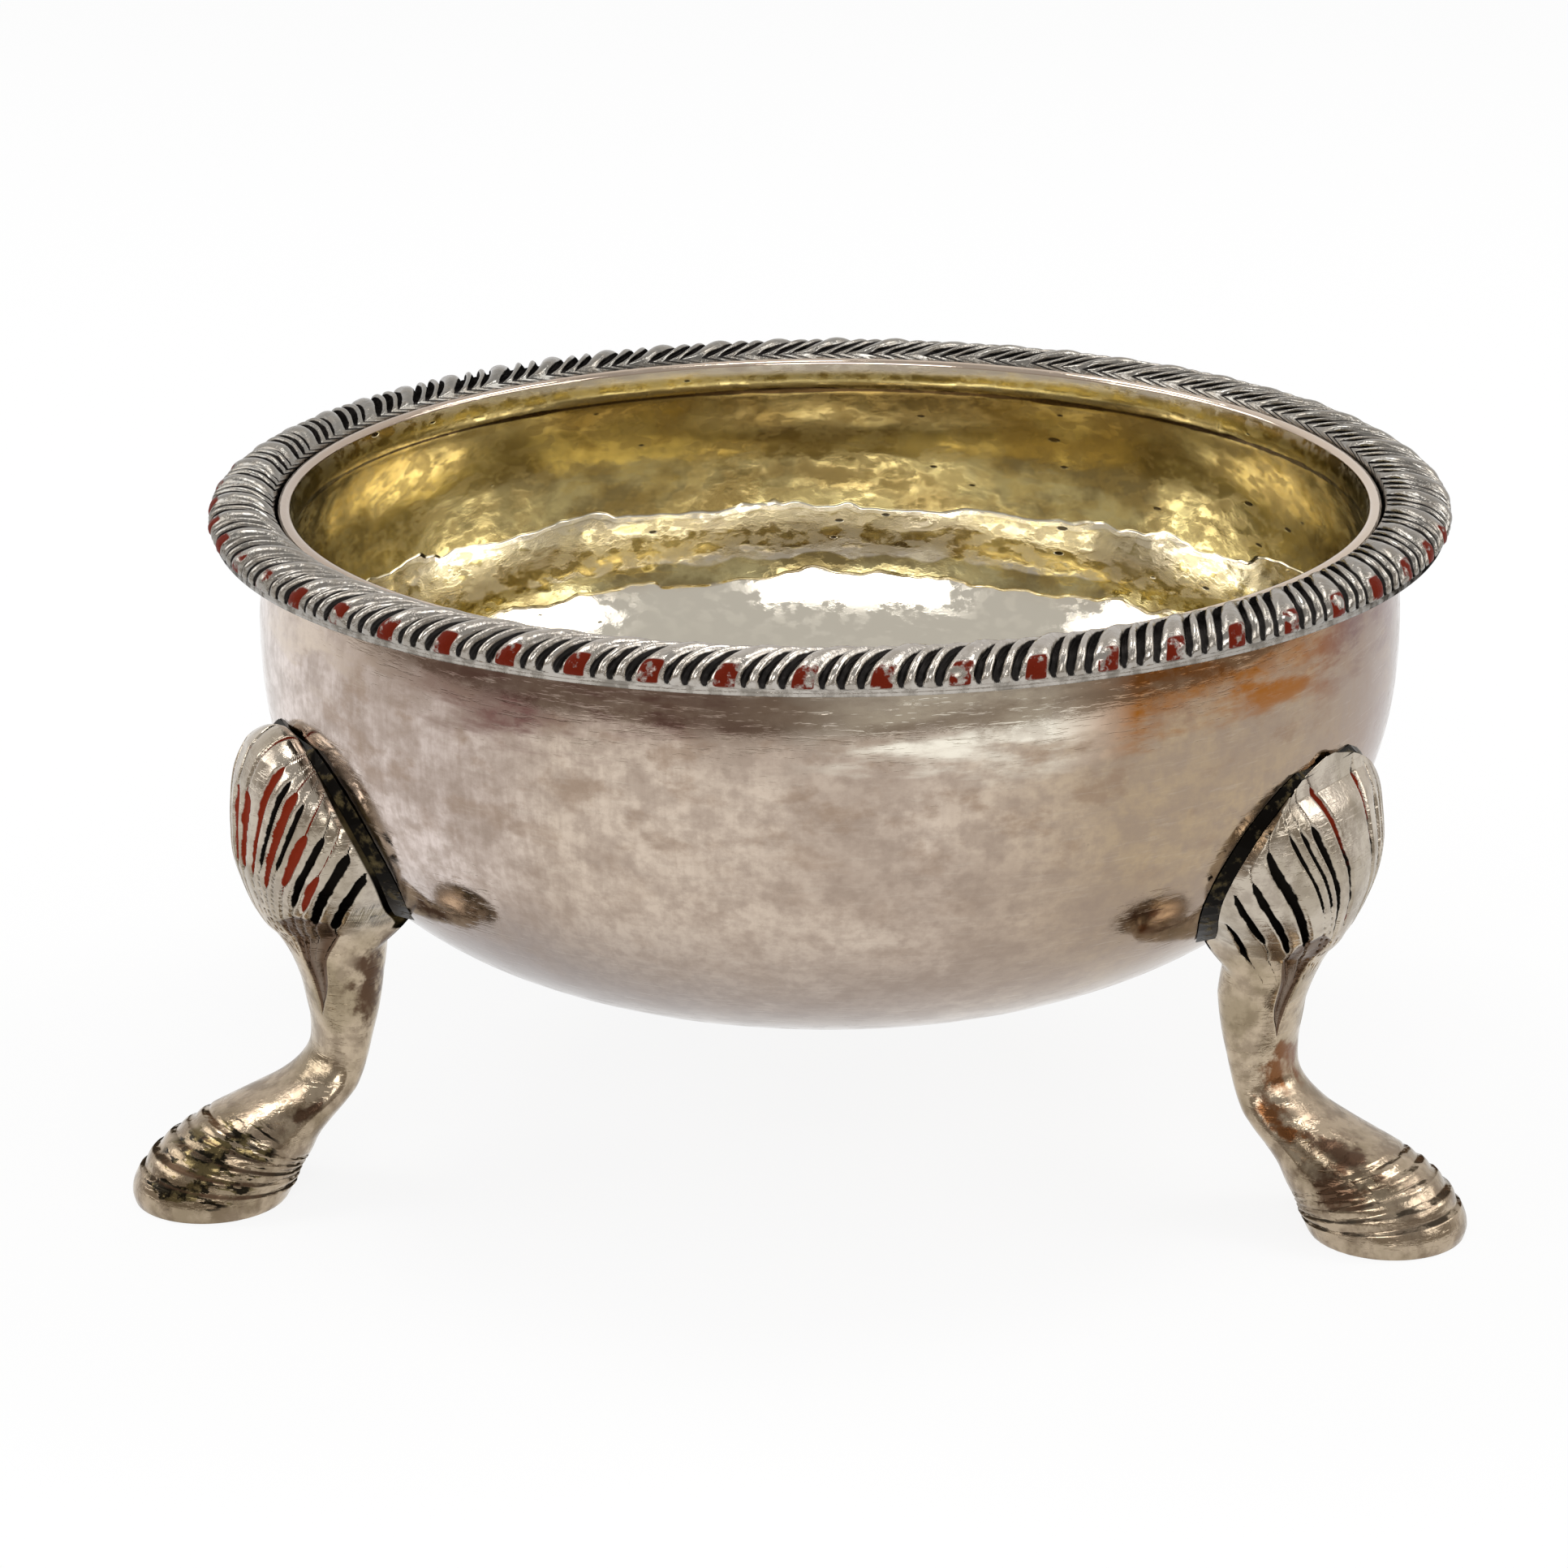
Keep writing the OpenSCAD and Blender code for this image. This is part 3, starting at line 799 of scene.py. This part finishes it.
class SALT_OT_rim(bpy.types.Operator):
    """Makes the gadrooned wire round the bowl's edge"""

    bl_idname = "salt.rim"
    bl_label = "Gadrooned rim"

    def execute(self, context):
        s = context.scene.salt_rim
        bowl = BowlShape(context.scene.salt_bowl)
        low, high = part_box("gadroon_rim")
        outer = (high.x - low.x) / 2
        widest = low.z + s.drop
        inner = bowl.outside(bowl.top - bowl.lip) + s.clearance
        inner_height = bowl.top - bowl.lip / 4
        middle = (inner + outer) / 2
        half = (outer - inner) / 2
        rise = s.crest_rise - s.relief / 4
        skin_steps = 20
        column_steps = 44
        first_turn, last_turn = math.radians(165), math.radians(-12)
        turns = [first_turn + (last_turn - first_turn) * i / skin_steps
                 for i in range(skin_steps + 1)]

        def skin(turn, progress, sink):
            lift = (inner_height - widest) * (1 - progress) ** 2
            return (middle + (half - sink) * math.cos(turn),
                    widest + lift + (rise - sink) * math.sin(turn))

        outline = [skin(turn, i / skin_steps, 0) for i, turn in enumerate(turns)]
        outline += [
            (outer - 0.3 * s.band_in, low.z + s.band + 0.12 * MM),
            (outer - 0.62 * s.band_in, low.z + s.band),
            (outer - 0.5 * s.band_in, low.z + 0.7 * s.band),
            (outer - 0.55 * s.band_in, low.z + 0.2 * s.band),
            (outer - s.band_in, low.z),
            (bowl.outside(low.z) + s.clearance, low.z),
            (inner, inner_height - bowl.lip / 2),
        ]
        order = list(range(len(outline)))
        bm = spun(outline, column_steps, True, "row", order, s.gadroons)
        row_of = bm.verts.layers.float["row"]
        valley = bm.verts.layers.float.new("valley")
        paste = bm.verts.layers.float.new("paste")
        pitch = math.tau / s.gadroons
        for vertex in bm.verts:
            row = round(vertex[row_of])
            theta = math.atan2(vertex.co.y, vertex.co.x)
            unit = theta / pitch
            phase = unit - math.floor(unit)
            progress = min(row / skin_steps, 1)
            sweep = s.sweep * (1 - (1 - progress) ** 2)
            radius, height = outline[row]
            if row <= skin_steps:
                level, outside = gadroon(phase, progress)
                depth = s.relief * smooth(progress, 0, 0.16) * (1 - 0.5 * smooth(progress, 0.9, 1))
                wear = 0.12 * noise.noise(Vector((unit, progress * 3, 0)) * 1.7)
                radius, height = skin(turns[row], progress, depth * (1.08 - level + wear))
                ends = min(progress / 0.1, 1) - 0.4 * smooth(progress, 0.92, 1)
                vertex[valley] = min(outside / 0.04, 1) + ends - 0.6
                on_lobe = 1 - smooth(abs(phase - BROAD_MIDDLE), 0.1, 0.17)
                front = smooth(-math.sin(theta), -0.15, 0.25)
                foot = smooth(progress, 0.62, 0.76) * (1 - smooth(progress, 0.98, 1.2))
                vertex[paste] = on_lobe * front * foot
            theta -= sweep
            vertex.co = (radius * math.cos(theta), radius * math.sin(theta), height)
        bmesh.ops.recalc_face_normals(bm, faces=bm.faces)
        piece = finished(bm, "gadrooned_wire", rim_silver(s))
        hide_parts("gadroon_rim")
        return {"FINISHED"}


# Legs. A station holds the out and up of the middle of its back, its depth and half width, the tilt
# of its depth above level, and the height at which its sides turn in.

# Down the knee: place on the seat, shares of the knee's depth and width, tilt in degrees
KNEE_SHARES = (
    (0, 0.09, 0.12, 50), (0.06, 0.175, 0.42, 32), (0.15, 0.3, 0.66, 18), (0.27, 0.47, 0.85, 8),
    (0.4, 0.61, 0.96, 0), (0.52, 0.735, 1, -4), (0.64, 0.84, 0.98, -6), (0.76, 0.91, 0.88, -8),
    (0.88, 0.97, 0.72, -10), (1, 1, 0.56, -10),
)
# Down the shank: place from the shank to the sole's middle, place below the knee, depth and width as
# shares of the shank's, tilt in degrees
SHANK_SHARES = (
    (0.06, 0.872, 1.49, 1.12, -7), (0.02, 0.756, 1.3, 1.03, -5), (0.02, 0.646, 1.1, 1, 0),
    (0.035, 0.555, 0.91, 0.96, 7), (0.065, 0.463, 0.81, 0.92, 13), (0.13, 0.396, 0.87, 0.94, 18),
    (0.25, 0.332, 1.07, 1.03, 19),
)
# Down the hoof: the same, as shares of the hoof's length and width
HOOF_SHARES = (
    (0.385, 0.287, 0.54, 0.73, 19), (0.522, 0.244, 0.65, 0.81, 19), (0.653, 0.2, 0.785, 0.88, 18),
    (0.794, 0.152, 0.895, 0.94, 15), (0.906, 0.1, 0.974, 0.98, 11), (0.976, 0.055, 1, 1, 6),
    (1, 0.0226, 1, 1, 3), (1, 0, 0.973, 0.975, 0),
)
# Lines cut in a knee: the root of station times turn, which stays the same along a line, its half
# width in such roots, its first and last station, and the share of it filled with paste
LEFT_FLUTES = (
    (4.6, 1.9, 3.3, 5.9, 1), (8.9, 0.5, 2, 6, 1), (10.7, 0.34, 2.4, 5.6, 0),
    (12, 0.55, 2.7, 6.3, 1), (13.3, 0.28, 3, 5.4, 0.2), (14.8, 0.55, 4, 6, 0.8),
    (16.5, 0.45, 4, 7, 0.1), (17.9, 0.45, 5.6, 7.2, 0.7), (19.6, 0.62, 4.7, 8, 0),
    (22.3, 0.62, 5.7, 8.4, 0),
)
RIGHT_FLUTES = (
    (7.5, 0.4, 1.7, 7.3, 0.45), (10.5, 0.42, 3.2, 7.8, 0), (12, 0.22, 3.2, 6.5, 0),
    (13.4, 0.2, 3.2, 6.4, 0), (16.6, 0.6, 3.7, 8, 0), (19.7, 0.5, 4.9, 8.4, 0),
    (22.6, 0.5, 5.6, 7.8, 0), (26, 0.45, 7.3, 9.2, 0),
)
# Spots of tarnish: kind, station, turn, and their reach along both
LEFT_SPOTS = (
    ("stain", 11, 108, 2.6, 42), ("murk", 8.1, 84, 1.1, 26), ("murk", 20.2, 46, 3.3, 66),
    ("stain", 16.5, 75, 1.6, 20),
)
RIGHT_SPOTS = (
    ("rust", 13.7, -20, 1.4, 44), ("rust", 15.5, -60, 1.5, 26), ("stain", 17.8, -34, 2.4, 36),
    ("stain", 19.3, -76, 2.2, 34),
)
# Bearing round the bowl, how far each leg was set out of the drawn radius, rise of its instep, turn
# of its flutes, turn, station and half width of its tongue, share of its standing edge darkened as
# painted shade, flutes and spots
LEG_PLACES = {
    "leg_front_left": (-150, 0.6, 0.2, 0, (41, 9, 18), 1, LEFT_FLUTES, LEFT_SPOTS),
    "leg_front_right": (-30, -0.6, -0.25, 4, (31, 10.3, 14), 0.5, RIGHT_FLUTES, RIGHT_SPOTS),
    "leg_back": (90, 0, 0, 0, (37, 9.5, 11), 0.7, RIGHT_FLUTES, LEFT_SPOTS),
}
KNEE_LAST = len(KNEE_SHARES) - 1
SOLE = len(KNEE_SHARES) + len(SHANK_SHARES) + len(HOOF_SHARES) - 1
# Stations: the tongue's first and its run, the middle and reach of the instep's rise and of the
# heel's trim, and where the hoof's steps begin and reach their full depth
TONGUE_FIRST = 8
TONGUE_RUN = 3.7
INSTEP_STATION = 17.6
INSTEP_REACH = 2
HEEL_STATION = 18.3
HEEL_REACH = 3
STEPS_FIRST = KNEE_LAST + 6
STEPS_FULL = KNEE_LAST + 9
# Degrees that the tongue bends by, one station from its middle, and the hoof's number of steps
TONGUE_BEND = 1.5
STEP_COUNT = 4.2


def through(a, b, c, d, t):
    """A smooth curve through four rows of numbers, at t between the second and the third."""
    return [
        (2 * q + (r - p) * t + (2 * p - 5 * q + 4 * r - u) * t ** 2
         + (3 * q - p - 3 * r + u) * t ** 3) / 2
        for p, q, r, u in zip(a, b, c, d)]


def knee_set(x):
    """Share of a leg's set that its knee has at station x, more near its top because it leans."""
    return min(1, x / 2) * (1 + 1.2 * max(0, 1 - x / 5))


class LegShape:
    """The skin of a leg, in its own plane: out from the bowl's axis, aside, and up."""

    def __init__(self, s, bowl, clearance, set_out, instep, twist, tongue, grime, flutes, spots):
        self.s = s
        self.bowl = bowl
        self.clearance = clearance
        self.set_out = set_out * MM
        self.instep = instep * MM
        self.twist = twist
        self.tongue = tongue
        # Share of the standing edge that is painted dark as shade
        self.grime = grime
        self.flutes = flutes
        self.spots = spots
        self.stations = [
            [0, s.knee_top - (s.knee_top - s.knee_root) * place, s.knee_depth * depth,
             s.knee_width / 2 * width, tilt, min(s.knee_edge, s.knee_depth * depth / 2)]
            for place, depth, width, tilt in KNEE_SHARES]
        for station in self.stations:
            station[0] = self.seat(station[1])
        limbs = ((SHANK_SHARES, s.shank_depth, s.shank_width),
                 (HOOF_SHARES, s.hoof_length, s.hoof_width))
        for shares, whole_depth, whole_width in limbs:
            for place, level, depth, width, tilt in shares:
                deep = whole_depth * depth
                lean = math.radians(tilt)
                self.stations.append([
                    s.shank_out + (s.reach - s.shank_out) * place - deep / 2 * math.cos(lean),
                    s.knee_root * level - deep / 2 * math.sin(lean),
                    deep, whole_width * width / 2, tilt, deep / 2])

    def seat(self, z):
        return self.bowl.outside(z) + self.clearance

    def at(self, x):
        """The station at x, and how far it follows the bowl."""
        i = min(int(x), SOLE - 1)
        t = x - i
        rows = self.stations
        now = through(rows[max(i - 1, 0)], rows[i], rows[i + 1], rows[min(i + 2, SOLE)], t)
        now[1] = max(now[1], 0)
        if x <= KNEE_LAST:
            now[0] = self.seat(now[1])
            return now, 1
        if now[1] > self.bowl.foot:
            now[0] = max(now[0], self.seat(now[1]))
        return now, max(1 - (x - KNEE_LAST), 0)

    def flute(self, x, side):
        """How far into a flute a place is, from 1 in its middle to -1, and its share of paste."""
        root = math.sqrt(x * side)
        middle, half, first, last, paste = min(self.flutes, key=lambda row: abs(root - row[0]))
        ends = min(x - first, last - x)
        half *= min(max((ends + 0.15) / 0.4, 0.02), 1) ** 0.5
        return max(1 - abs(root - middle) / half, -1), paste

    def tongue_at(self, x, side):
        """How far into the tongue a place is, from 1 in its middle to -1."""
        turn, station, half = self.tongue
        past = (x - TONGUE_FIRST) / TONGUE_RUN
        middle = turn - TONGUE_BEND * (x - station) ** 2
        half *= math.sqrt(max(1 - past * past, 0.04))
        return max(1 - abs(side - middle) / half - 8 * max(-past, past - 1, 0), -1)

    def relief(self, x, turn, up, out):
        """How far the skin is cut back at a place, and the values of its finish there."""
        s = self.s
        side = abs(turn - self.twist)
        front = abs(turn) <= 90
        gouge, paste = self.flute(x, side) if front and x < KNEE_LAST + 1 else (-1, 0)
        tongue = self.tongue_at(x, abs(turn)) if front else -1
        sink = s.flute_depth * smooth(gouge, -0.6, 0.6) + s.tongue_depth * smooth(tongue, -0.2, 0.5)
        level = up / (1 + (out - s.reach) / s.hoof_length)
        line = -1
        sink += s.step_depth * smooth(x, STEPS_FIRST, STEPS_FULL)
        if x > STEPS_FIRST:
            steps = (level - s.first_step) / s.step
            phase = steps - math.floor(steps)
            fade = smooth(steps, -0.4, 0) * (1 - smooth(steps, STEP_COUNT, STEP_COUNT + 0.4))
            sink += s.step_depth * (1 - smooth(phase, 0, 0.8)) * fade
            line = max(1 - 2 * min(phase, 1 - phase) * s.step / s.step_line, -1)
            line -= 2 * (1 - fade)
        found = {"stain": -1, "rust": -1, "murk": -1}
        for kind, middle, bearing, reach, wide in self.spots:
            far = math.hypot((x - middle) / reach, (turn - bearing) / wide)
            found[kind] = max(found[kind], 1 - far)
        return sink, (gouge, paste, tongue, line, level / MM, *found.values(), 0)

    def section(self, x, front_steps, back_steps):
        station, follow = self.at(x)
        back_out, back_up, depth, half, tilt, edge = station
        lean = math.radians(tilt)
        moved = 0 if x <= KNEE_LAST else self.set_out * min(1, (x - KNEE_LAST) / 2)
        deeper = self.set_out * knee_set(x) if x <= KNEE_LAST else self.set_out - moved
        instep = max(1 - ((x - INSTEP_STATION) / INSTEP_REACH) ** 2, 0) * self.instep
        heel = max(1 - ((x - HEEL_STATION) / HEEL_REACH) ** 2, 0) * self.s.heel_trim
        depth += deeper + instep - heel
        back_out += moved
        points = []

        def point(lift, aside, values):
            sag = back_out - moved
            sag -= math.sqrt(max(sag * sag - aside * aside, 0))
            place = Vector((
                back_out - follow * sag + math.cos(lean) * (lift + heel), aside,
                max(back_up + math.sin(lean) * (lift + heel), 0)))
            points.append((place, values))

        for i in range(front_steps + 1):
            turn = 180 * i / front_steps - 90
            a = math.radians(turn)
            lift = edge + (depth - edge) * math.cos(a)
            up = back_up + math.sin(lean) * lift
            sink, values = self.relief(x, turn, up, back_out + math.cos(lean) * lift)
            point(lift - sink * max(math.cos(a), 0.35), (half - 0.6 * sink) * math.sin(a), values)
        for i in range(1, back_steps):
            share = 1 - 2 * i / back_steps
            turn = math.copysign(180, share) - 90 * share
            a = math.pi / 2 * share
            down = max((abs(share) - 0.7) / 0.3, 0)
            lift = (1 - follow) * edge * (1 - math.cos(a)) + follow * edge * down
            aside = math.copysign(min(abs(share) / 0.7, 1), share)
            aside = (1 - follow) * math.sin(a) + follow * aside
            # Painted shade on the standing edge between the knee and the bowl
            black = self.grime * (1 - 1.4 * (1 - self.grime) * smooth(x, 5, KNEE_LAST))
            wall = smooth(follow, 0.5, 1) * max(1 - down / black, -1)
            up = back_up + math.sin(lean) * lift
            sink, values = self.relief(x, turn, up, back_out + math.cos(lean) * lift)
            sink *= 1 - follow
            point(lift + sink * math.cos(a), (half - 0.6 * sink) * aside, (*values[:-1], wall))
        return points


class SALT_OT_legs(bpy.types.Operator):
    """Makes the three cast legs"""

    bl_idname = "salt.legs"
    bl_label = "Legs"

    def execute(self, context):
        s = context.scene.salt_legs
        bowl = BowlShape(context.scene.salt_bowl)
        clearance = context.scene.salt_rim.clearance
        material = leg_silver(s)
        layers = ("gouge", "paste", "tongue", "line", "level", "stain", "rust", "murk", "wall")
        knee_steps, lower_steps = 13, 9
        front_steps, back_steps = 190, 20
        places = [i / knee_steps for i in range(KNEE_LAST * knee_steps)]
        places += [KNEE_LAST + i / lower_steps for i in range((SOLE - KNEE_LAST) * lower_steps + 1)]
        for node, (bearing, *drawn) in LEG_PLACES.items():
            shape = LegShape(s, bowl, clearance, *drawn)
            turn = Matrix.Rotation(math.radians(bearing), 3, "Z")
            sections = []
            for x in places:
                section = shape.section(x, front_steps, back_steps)
                sections.append([(turn @ place, values) for place, values in section])
            piece = finished(lofted(sections, layers), node.replace("leg", "cast_leg"), material)
            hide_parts(node)
        return {"FINISHED"}


class SALT_OT_solder(bpy.types.Operator):
    """Gives the solder seams their finish"""

    bl_idname = "salt.solder"
    bl_label = "Solder seams"

    def execute(self, context):
        material = old_solder(context.scene.salt_legs)
        for node in ("rim_solder", "solder_front_left", "solder_front_right", "solder_back"):
            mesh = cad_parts[node].data
            mesh.materials.clear()
            mesh.materials.append(material)
        return {"FINISHED"}


# Stage

def seen_in_metal(tree):
    """1 for rays that the camera or a shiny surface sends."""
    light_path = add(tree, "LightPath").outputs
    seen = most(light_path["Is Camera Ray"], light_path["Is Glossy Ray"])
    return most(seen, light_path["Is Transmission Ray"])


def floor_material(s):
    """A pale floor that keeps shadows and is white where the camera sees it lit."""
    material, tree, shader = shaded("floor")
    plugged(shader, {"Base Color": rgba(s.floor), "Roughness": 0.9, "Specular IOR Level": 0})
    glow = add(tree, "Emission", {"Color": (1, 1, 1, 1), "Strength": 1.0})
    share = times(seen_in_metal(tree), 0.88)
    both = add(tree, "MixShader", {0: share, 1: shader.outputs[0], 2: glow.outputs[0]})
    tree.links.new(both.outputs[0], tree.nodes["Material Output"].inputs[0])
    return material


def room_light(s):
    """Even light all round: white to the camera, a dim brownish room to the metal."""
    world = bpy.data.worlds.new("room")
    world.use_nodes = True
    tree = world.node_tree
    light_path = add(tree, "LightPath").outputs
    axes = add(tree, "SeparateXYZ", {0: add(tree, "TexCoord").outputs["Generated"]}).outputs
    mirrored = mixed(between(axes[2], 0.1, 0.5), s.horizon, s.sky)
    behind = between(axes[1], 0.1, 0.7)
    mirrored = mixed(behind, mirrored, (0.9, 0.88, 0.86))
    straight = most(light_path["Is Camera Ray"], light_path["Is Transmission Ray"])
    seen = mixed(straight, mirrored, (1, 1, 1))
    even = mixed(seen_in_metal(tree), (s.room, s.room, s.room), seen)
    tree.links.new(even, tree.nodes["Background"].inputs["Color"])
    bpy.context.scene.world = world


def lamp(name, place, wide, tall, power):
    """An oblong lamp that faces the middle of the rim."""
    light = bpy.data.lights.new(name, "AREA")
    light.shape = "RECTANGLE"
    light.energy = power
    light.size = wide
    light.size_y = tall
    holder = linked(name, light)
    holder.location = place
    aim = Vector((0, 0, 0.03)) - holder.location
    holder.rotation_euler = aim.to_track_quat("-Z", "Y").to_euler()


def photo_camera(s, rim_height):
    """A camera at the photograph's angle."""
    turn = Matrix.Rotation(s.camera_turn, 3, "Z")
    rise, roll = s.camera_rise, s.camera_roll
    right = turn @ Vector((1, 0, 0))
    ahead = turn @ Vector((0, math.cos(rise), -math.sin(rise)))
    up = turn @ Vector((0, math.sin(rise), math.cos(rise)))
    across = right * math.cos(roll) - up * math.sin(roll)
    upward = right * math.sin(roll) + up * math.cos(roll)
    data = bpy.data.cameras.new("camera")
    data.lens = s.lens
    data.sensor_width = 36
    data.clip_start = 0.01
    data.clip_end = 20
    camera = linked("camera", data)
    place = Vector((0, 0, rim_height)) + right * s.camera_aside + up * s.camera_lift
    place -= ahead * s.camera_distance
    camera.matrix_world = Matrix.Translation(place) @ Matrix(
        (across, upward, -ahead)).transposed().to_4x4()
    bpy.context.scene.camera = camera


class SALT_OT_stage(bpy.types.Operator):
    """Makes the floor, the lamps, the room and the camera"""

    bl_idname = "salt.stage"
    bl_label = "Stage"

    def execute(self, context):
        s = context.scene.salt_studio
        rim = context.scene.salt_rim
        bm = bmesh.new()
        bmesh.ops.create_grid(bm, x_segments=1, y_segments=1, size=s.floor_size / 2)
        floor = linked("floor", meshed(bm, "floor", floor_material(s)))
        room_light(s)
        lamp("left_lamp", (-0.3, 0.2, 0.55), 0.18, 0.18, s.key_power)
        lamp("right_lamp", (0.32, 0.2, 0.5), 0.18, 0.18, s.key_power)
        lamp("front_lamp", (-0.02, -0.5, 0.32), 0.42, 0.16, s.front_power)
        lamp("left_side_lamp", (-0.5, 0, 0.27), 0.5, 0.2, s.side_power)
        lamp("right_side_lamp", (0.5, 0, 0.27), 0.5, 0.2, s.side_power)
        lamp("top_lamp", (0.06, 0, 0.6), 0.15, 0.15, s.top_power)
        photo_camera(s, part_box("gadroon_rim")[0].z + rim.drop)
        context.scene.view_settings.view_transform = "Standard"
        return {"FINISHED"}


class SALT_PT_panel(bpy.types.Panel):
    """Lists the makers and settings of the salt cellar"""

    bl_idname = "SALT_PT_panel"
    bl_label = "Salt cellar"
    bl_space_type = "VIEW_3D"
    bl_region_type = "UI"
    bl_category = "Salt cellar"

    def draw(self, context):
        for maker in MAKERS:
            self.layout.operator(maker.bl_idname)
        for key in SETTINGS:
            box = self.layout.box()
            settings = getattr(context.scene, key)
            for name in settings.bl_rna.properties.keys():
                if name not in ("rna_type", "name"):
                    box.prop(settings, name)


SETTINGS = {
    "salt_bowl": BowlSettings,
    "salt_rim": RimSettings,
    "salt_legs": LegSettings,
    "salt_studio": StudioSettings,
}
MAKERS = (SALT_OT_stage, SALT_OT_bowl, SALT_OT_rim, SALT_OT_legs, SALT_OT_solder)


def register():
    for kind in (*SETTINGS.values(), *MAKERS, SALT_PT_panel):
        bpy.utils.register_class(kind)
    for key, kind in SETTINGS.items():
        setattr(bpy.types.Scene, key, bpy.props.PointerProperty(type=kind))


def unregister():
    for key in SETTINGS:
        delattr(bpy.types.Scene, key)
    for kind in (SALT_PT_panel, *reversed(MAKERS), *reversed(SETTINGS.values())):
        bpy.utils.unregister_class(kind)


def main():
    register()
    bpy.ops.salt.stage()
    bpy.ops.salt.bowl()
    bpy.ops.salt.rim()
    bpy.ops.salt.legs()
    bpy.ops.salt.solder()


if __name__ == "__main__":
    main()
